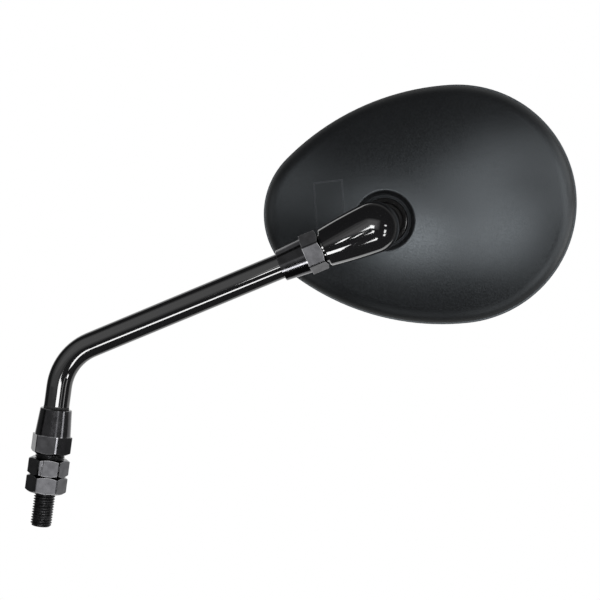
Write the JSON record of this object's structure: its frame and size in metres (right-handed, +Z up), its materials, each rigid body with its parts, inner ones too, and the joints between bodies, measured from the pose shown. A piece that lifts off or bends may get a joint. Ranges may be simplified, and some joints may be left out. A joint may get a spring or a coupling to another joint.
{
  "type": "motorcycle mirror",
  "caption": "Motorcycle rear-view mirror: egg-shaped convex mirror head on a ball joint, bent black tube stem with cone clamp nuts, and a threaded mounting stud with a lock nut.",
  "frame": {"origin": "on the stud axis at the seating face of the lock nut", "axes": "+Z up along the stud, +X towards the head in the plane of the stem's bend, +Y the way the glass faces"},
  "size_m": [0.2418, 0.0602, 0.2382],
  "materials": {
    "dark_nut_metal": "satin blackened steel, fine machining marks",
    "gloss_black_paint": "gloss black paint",
    "black_shell_plastic": "fine-grained matt black moulding",
    "plain_steel": "plain zinc-plated steel",
    "white_nylon": "natural nylon",
    "black_nylon": "black nylon",
    "gloss_black_plastic": "gloss black moulding",
    "black_rubber": "matt black rubber",
    "grey_foam": "closed-cell foam",
    "mirror_silver": "silvered convex glass"
  },
  "bodies": {
    "mount": {"mount_adapter": "dark_nut_metal", "lower_friction_washer": "white_nylon"},
    "lock_nut": {"lock_nut": "dark_nut_metal"},
    "lower_cone_nut": {"lower_cone_nut": "dark_nut_metal"},
    "stem": {"stem_tube": "gloss_black_paint", "lower_stem_ferrule": "plain_steel", "upper_stem_ferrule": "plain_steel"},
    "elbow": {"elbow": "gloss_black_paint", "upper_friction_washer": "white_nylon"},
    "upper_cone_nut": {"upper_cone_nut": "dark_nut_metal"},
    "rear_liner": {"rear_ball_liner": "black_nylon"},
    "front_liner": {"front_ball_liner": "black_nylon"},
    "head": {"housing": "black_shell_plastic", "socket_ring": "gloss_black_plastic", "pressure_cup": "plain_steel", "disc_spring": "plain_steel", "retainer_plate": "plain_steel", "retainer_screws": "plain_steel", "glass_gasket": "black_rubber", "glass_cushion": "grey_foam", "mirror_glass": "mirror_silver"}
  },
  "joints": [
    {"name": "lock_nut_travel", "type": "slide", "parent": "mount", "child": "lock_nut", "axis": [0, 0, -1], "range_m": [0, 0.01]},
    {"name": "lower_nut_travel", "type": "slide", "parent": "mount", "child": "lower_cone_nut", "axis": [0, 0, 1], "range_m": [0, 0.01]},
    {"name": "stem_swivel", "type": "hinge", "parent": "mount", "child": "stem", "pos_m": [0, 0, 0.0294], "axis": [0, 0, 1], "continuous": true},
    {"name": "elbow_swivel", "type": "hinge", "parent": "stem", "child": "elbow", "pos_m": [0.11544, 0, 0.13165], "axis": [0.866, 0, 0.5], "continuous": true},
    {"name": "upper_nut_travel", "type": "slide", "parent": "elbow", "child": "upper_cone_nut", "axis": [-0.866, 0, -0.5], "range_m": [0, 0.04]},
    {"name": "head_tilt", "type": "hinge", "parent": "elbow", "child": "rear_liner", "pos_m": [0.14087, 0.02738, 0.1491], "axis": [1, 0, 0], "range_deg": [-10, 10]},
    {"name": "head_pan", "type": "hinge", "parent": "rear_liner", "child": "front_liner", "pos_m": [0.14087, 0.02738, 0.1491], "axis": [0, 0, 1], "range_deg": [-10, 10]},
    {"name": "head_roll", "type": "hinge", "parent": "front_liner", "child": "head", "pos_m": [0.14087, 0.02738, 0.1491], "axis": [0, 1, 0], "range_deg": [-30, 30]}
  ]
}
